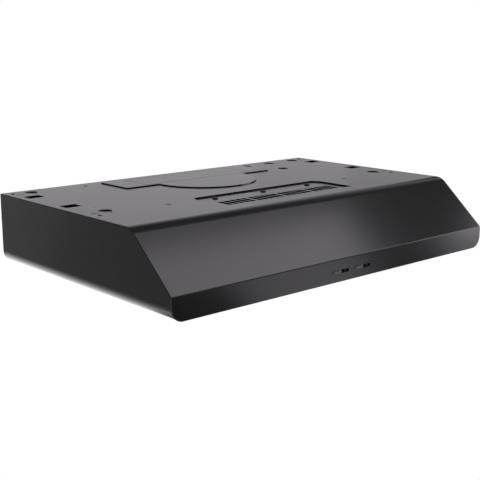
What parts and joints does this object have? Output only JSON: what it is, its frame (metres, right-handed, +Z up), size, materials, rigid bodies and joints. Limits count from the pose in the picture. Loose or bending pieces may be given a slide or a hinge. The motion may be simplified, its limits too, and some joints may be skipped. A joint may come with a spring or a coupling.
{
  "type": "under cabinet range hood",
  "caption": "Black enamelled under cabinet range hood with a sloped front, slide switches in its lip, a recirculating blower, a lamp and a drop-down grease filter.",
  "frame": {"origin": "middle of the four hanging keyholes, on the upper face of the top sheet", "axes": "+X to the right, the front faces -Y, +Z up towards the cabinet"},
  "size_m": [0.759, 0.5042, 0.1294],
  "materials": {
    "black_enamel": "semi-gloss black enamel",
    "galvanised_sheet": "galvanised, faint spangle",
    "zinc_screws": "bright zinc",
    "black_screws": "black phosphate",
    "spring_steel": "blued spring steel",
    "filter_aluminium": "bright mill finish",
    "filter_mesh": "expanded layers",
    "wheel_plastic": "moulded",
    "motor_paint": "satin",
    "bearing_bronze": "sintered",
    "shaft_steel": "ground",
    "capacitor_case": "moulded",
    "slider_plastic": "moulded black",
    "switch_plastic": "moulded black",
    "lamp_white": "white reflector paint",
    "lens_plastic": "frosted",
    "socket_ceramic": "glazed",
    "bulb_cap_metal": "rolled thread",
    "bulb_glass": "soft white"
  },
  "bodies": {
    "hood": {"canopy": "black_enamel", "left_side_panel": "black_enamel", "right_side_panel": "black_enamel", "rear_panel": "black_enamel", "bottom_pan": "black_enamel", "side_rivets": "black_enamel", "pan_brackets": "galvanised_sheet", "pan_screws": "black_screws", "blower_screws": "black_screws", "motor_screws": "zinc_screws", "junction_screw": "zinc_screws", "filter_hooks": "galvanised_sheet", "filter_clips": "spring_steel", "blower_housing": "black_enamel", "inlet_plate": "black_enamel", "motor_body": "motor_paint", "motor_bearings": "bearing_bronze", "motor_capacitor": "capacitor_case", "capacitor_clip": "galvanised_sheet", "junction_box": "black_enamel", "junction_cover": "galvanised_sheet", "light_switch": "switch_plastic", "fan_switch": "switch_plastic", "switch_bracket": "galvanised_sheet", "lamp_housing": "lamp_white", "lamp_lens": "lens_plastic", "lamp_socket": "socket_ceramic", "bulb_cap": "bulb_cap_metal", "bulb_glass": "bulb_glass"},
    "light_control": {"light_slider": "slider_plastic"},
    "fan_control": {"fan_slider": "slider_plastic"},
    "rotor": {"blower_wheel": "wheel_plastic", "wheel_nut": "zinc_screws", "motor_shaft": "shaft_steel"},
    "filter": {"filter_frame": "filter_aluminium", "filter_mesh": "filter_mesh", "filter_pull": "filter_aluminium"}
  },
  "joints": [
    {"name": "light_slide", "type": "slide", "parent": "hood", "child": "light_control", "axis": [1, 0, 0], "range_m": [0, 0.021]},
    {"name": "fan_slide", "type": "slide", "parent": "hood", "child": "fan_control", "axis": [1, 0, 0], "range_m": [0, 0.021]},
    {"name": "blower_spin", "type": "hinge", "parent": "hood", "child": "rotor", "pos_m": [0, -0.044, -0.0484], "axis": [0, 0, 1], "continuous": true},
    {"name": "filter_swing", "type": "hinge", "parent": "hood", "child": "filter", "pos_m": [0, 0.102, -0.1174], "axis": [1, 0, 0], "range_deg": [0, 75]}
  ]
}
